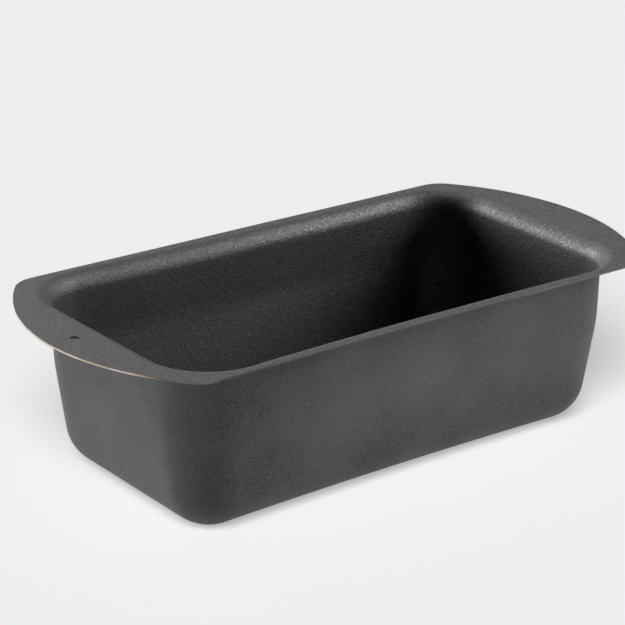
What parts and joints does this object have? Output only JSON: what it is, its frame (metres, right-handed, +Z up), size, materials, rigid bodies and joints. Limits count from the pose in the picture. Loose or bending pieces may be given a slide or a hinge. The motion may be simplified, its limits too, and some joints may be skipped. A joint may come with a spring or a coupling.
{
  "type": "loaf pan",
  "caption": "Pressed steel loaf pan with a tapered bowl, rolled rim, narrow side flanges, a crescent tab at each end and a hanging hole in one tab.",
  "frame": {"origin": "centre of the underside of the floor, on the surface that the pan stands on", "axes": "+X along the pan, away from the tab with the hanging hole; +Y across it; +Z up out of the bowl"},
  "size_m": [0.2676, 0.13, 0.0732],
  "materials": {
    "bare_steel": "sheared bare carbon steel edge, slightly oxidised",
    "nonstick_inner": "dark grey textured non-stick, orange-peel with fine metallic sparkle",
    "coating_outer": "matt dark grey baked coating, finely mottled"
  },
  "bodies": {
    "root": {"steel_shell": "bare_steel", "inner_coating": "nonstick_inner", "outer_coating": "coating_outer"}
  },
  "joints": []
}
